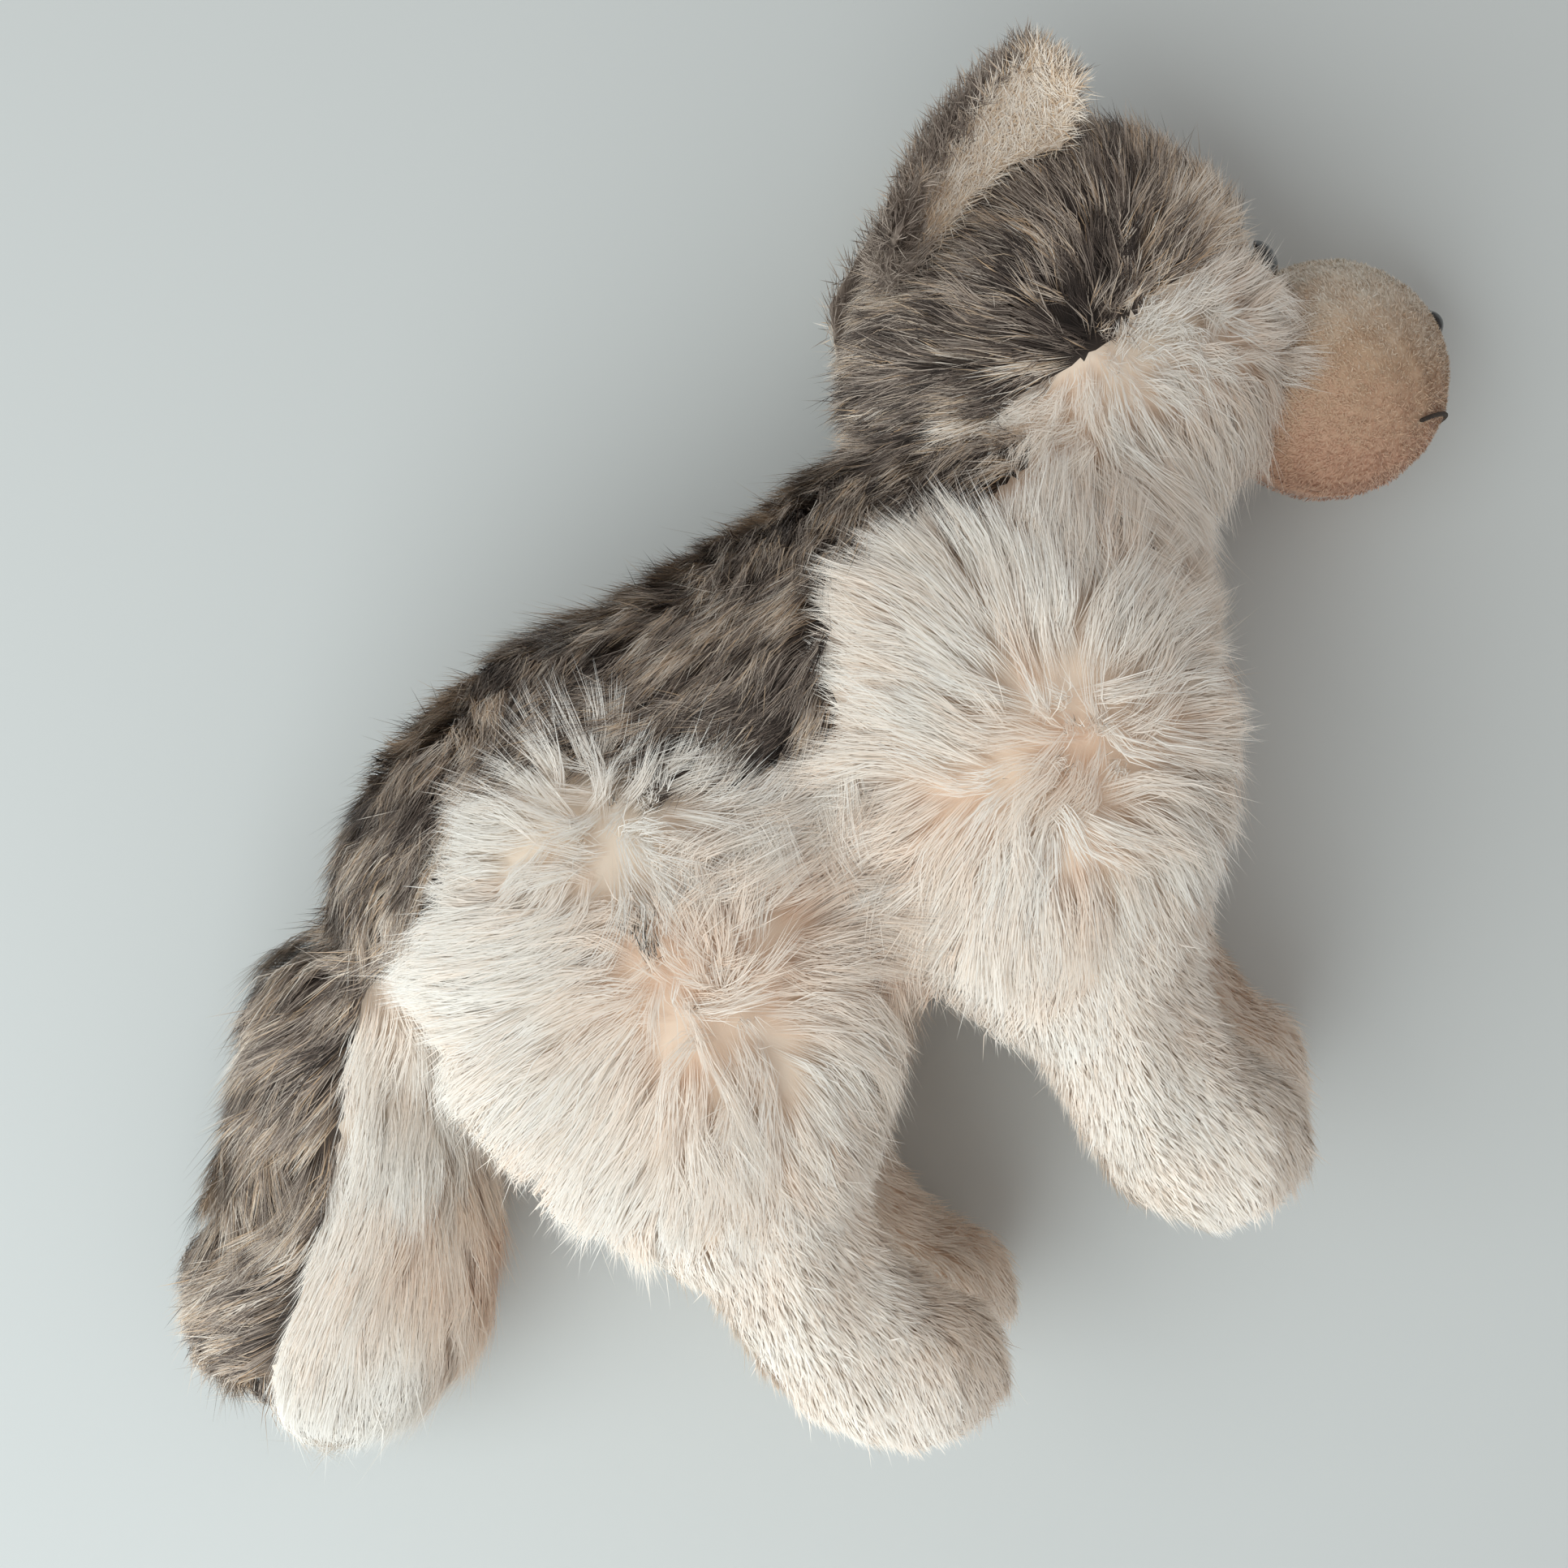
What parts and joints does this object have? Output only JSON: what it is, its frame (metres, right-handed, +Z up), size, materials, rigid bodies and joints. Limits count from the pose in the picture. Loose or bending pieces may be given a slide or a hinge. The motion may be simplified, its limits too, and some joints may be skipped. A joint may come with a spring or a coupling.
{
  "type": "plush wolf",
  "caption": "Stuffed wolf of gray and cream fur pile lying on its side, with a short velour muzzle, cupped ears and a bushy tail; a soft toy that rests on a floor or shelf",
  "frame": {"origin": "middle of the bounding box, on the ground the toy lies on", "axes": "+X towards the nose, +Y towards the back, +Z up, which is the right side of the wolf as it lies on its left side"},
  "size_m": [0.4108, 0.2666, 0.118],
  "materials": {
    "gray_pile": "long shaggy pile, dark and light gray-brown strands",
    "cream_pile": "long soft cream pile lying in locks",
    "short_pile": "short dense cream pile",
    "sole_cloth": "smooth pinkish short plush",
    "velour": "short brushed velour",
    "fibre": "loose polyester stuffing",
    "gloss_black": "polished",
    "washer_plastic": "plain moulded",
    "dark_thread": "twisted embroidery thread"
  },
  "bodies": {
    "root": {"back_panel": "gray_pile", "flank_panel_right": "cream_pile", "flank_panel_left": "cream_pile", "belly_panel": "cream_pile", "body_filling": "fibre", "crown_panel": "gray_pile", "cheek_panel_right": "cream_pile", "cheek_panel_left": "cream_pile", "muzzle_top": "velour", "muzzle_side_right": "velour", "muzzle_side_left": "velour", "head_filling": "fibre", "ear_back_right": "gray_pile", "ear_lining_right": "velour", "ear_back_left": "gray_pile", "ear_lining_left": "velour", "eye_right": "gloss_black", "eye_left": "gloss_black", "eye_washer_right": "washer_plastic", "eye_washer_left": "washer_plastic", "nose": "gloss_black", "nose_washer": "washer_plastic", "mouth_stitching": "dark_thread", "right_front_leg_upper_cover": "cream_pile", "right_front_leg_lower_cover": "short_pile", "right_front_leg_sole": "sole_cloth", "right_front_leg_filling": "fibre", "left_front_leg_upper_cover": "cream_pile", "left_front_leg_lower_cover": "short_pile", "left_front_leg_sole": "sole_cloth", "left_front_leg_filling": "fibre", "right_hind_leg_upper_cover": "cream_pile", "right_hind_leg_lower_cover": "short_pile", "right_hind_leg_sole": "sole_cloth", "right_hind_leg_filling": "fibre", "left_hind_leg_upper_cover": "cream_pile", "left_hind_leg_lower_cover": "short_pile", "left_hind_leg_sole": "sole_cloth", "left_hind_leg_filling": "fibre", "tail_top": "gray_pile", "tail_underside": "cream_pile", "tail_filling": "fibre"}
  },
  "joints": []
}
